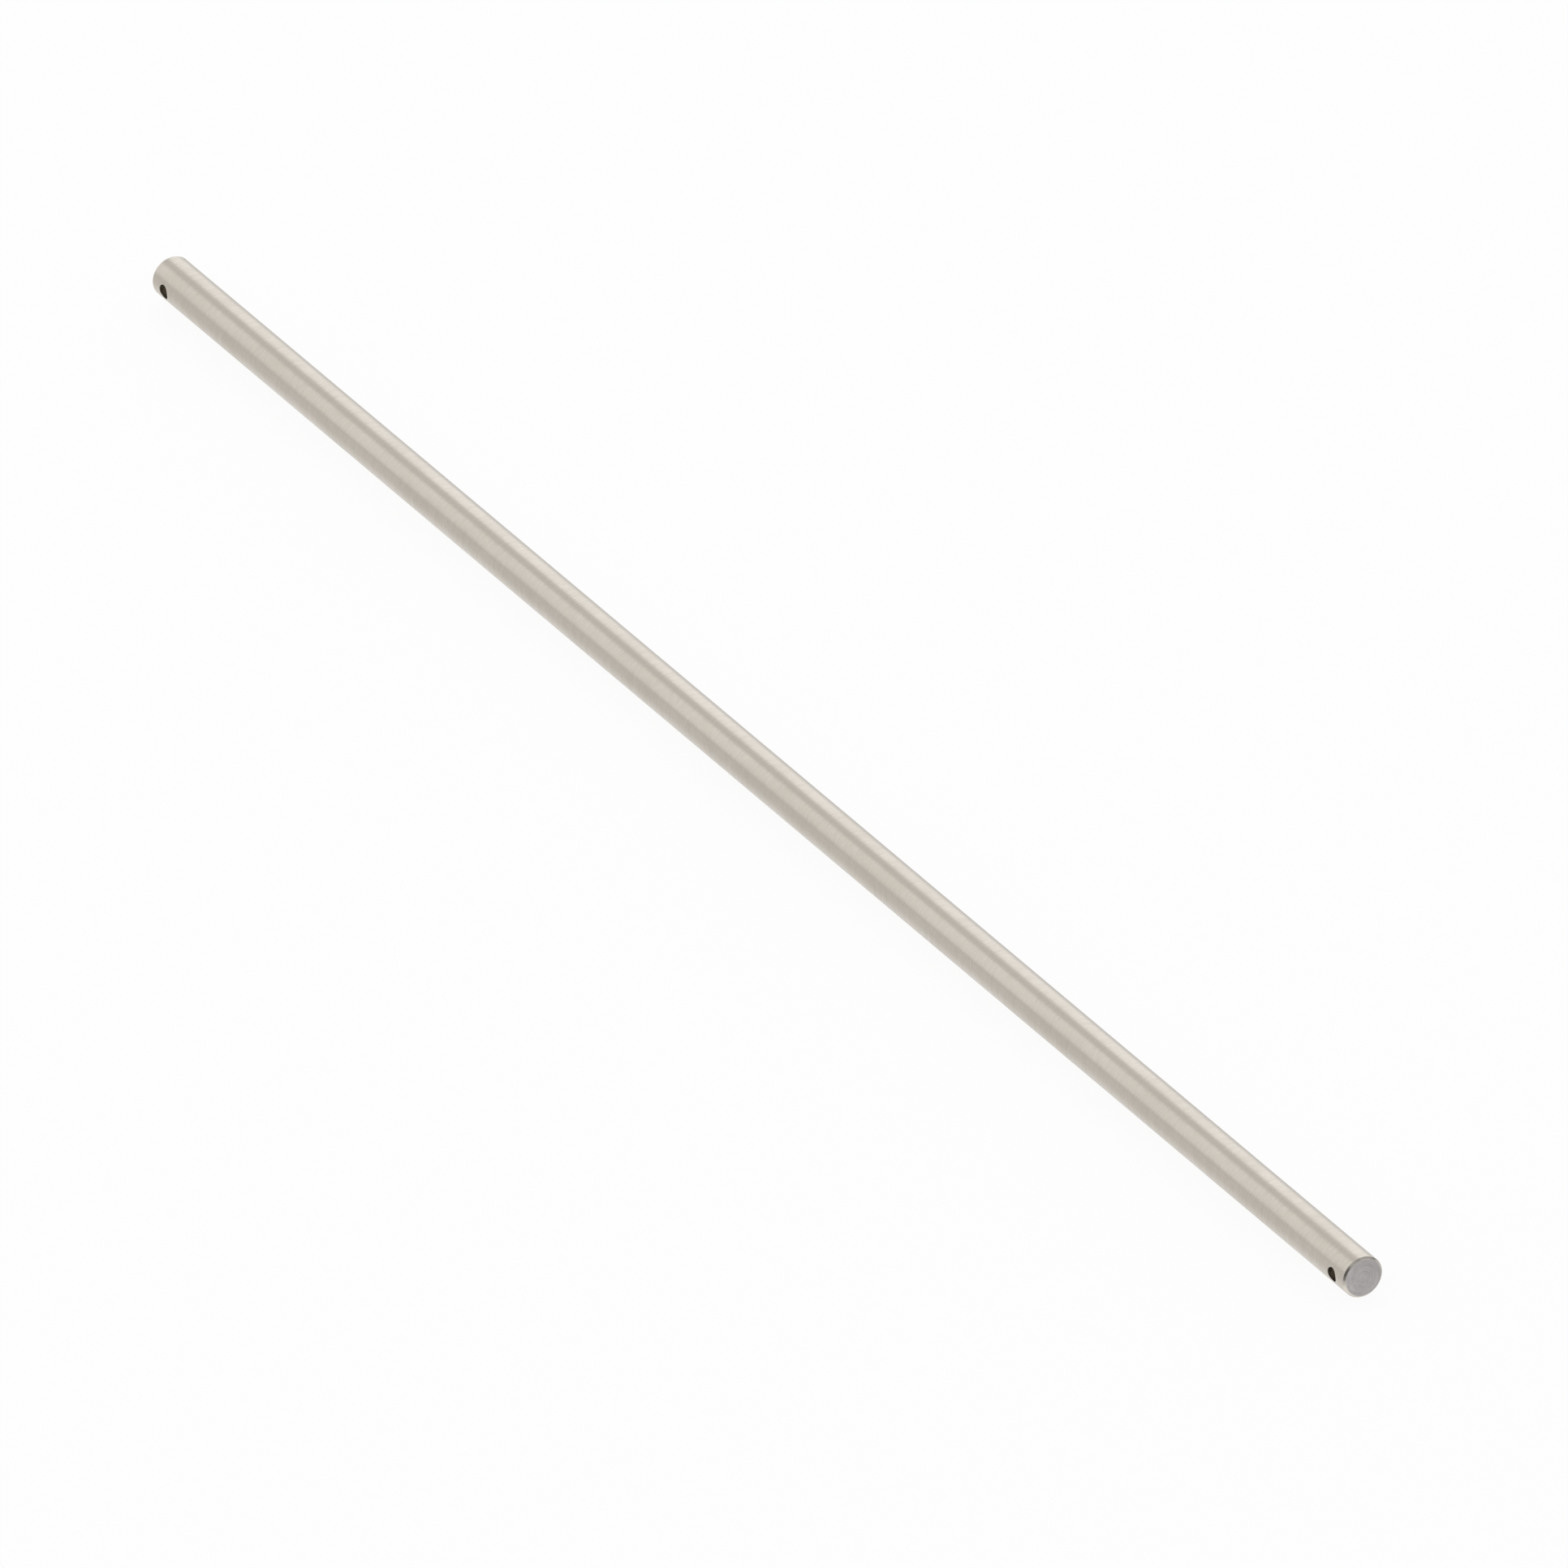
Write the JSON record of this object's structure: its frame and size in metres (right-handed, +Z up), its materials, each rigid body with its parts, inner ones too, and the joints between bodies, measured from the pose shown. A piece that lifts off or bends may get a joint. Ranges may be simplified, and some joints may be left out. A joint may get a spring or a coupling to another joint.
{
  "type": "metal shaft",
  "caption": "Straight round metal shaft with a chamfer and a cross-drilled pin hole at each end, to carry rollers, wheels or bearings.",
  "frame": {"origin": "middle of the shaft, on its centre line", "axes": "+X along the shaft, +Y along both cross holes, +Z up at right angles to both; the shaft lies along X with its cross holes level"},
  "size_m": [0.65, 0.012, 0.012],
  "materials": {
    "ground_steel": "fine-ground satin steel with a slightly warm tone, turned and a little greyer on the end faces"
  },
  "bodies": {
    "root": {"shaft": "ground_steel"}
  },
  "joints": []
}
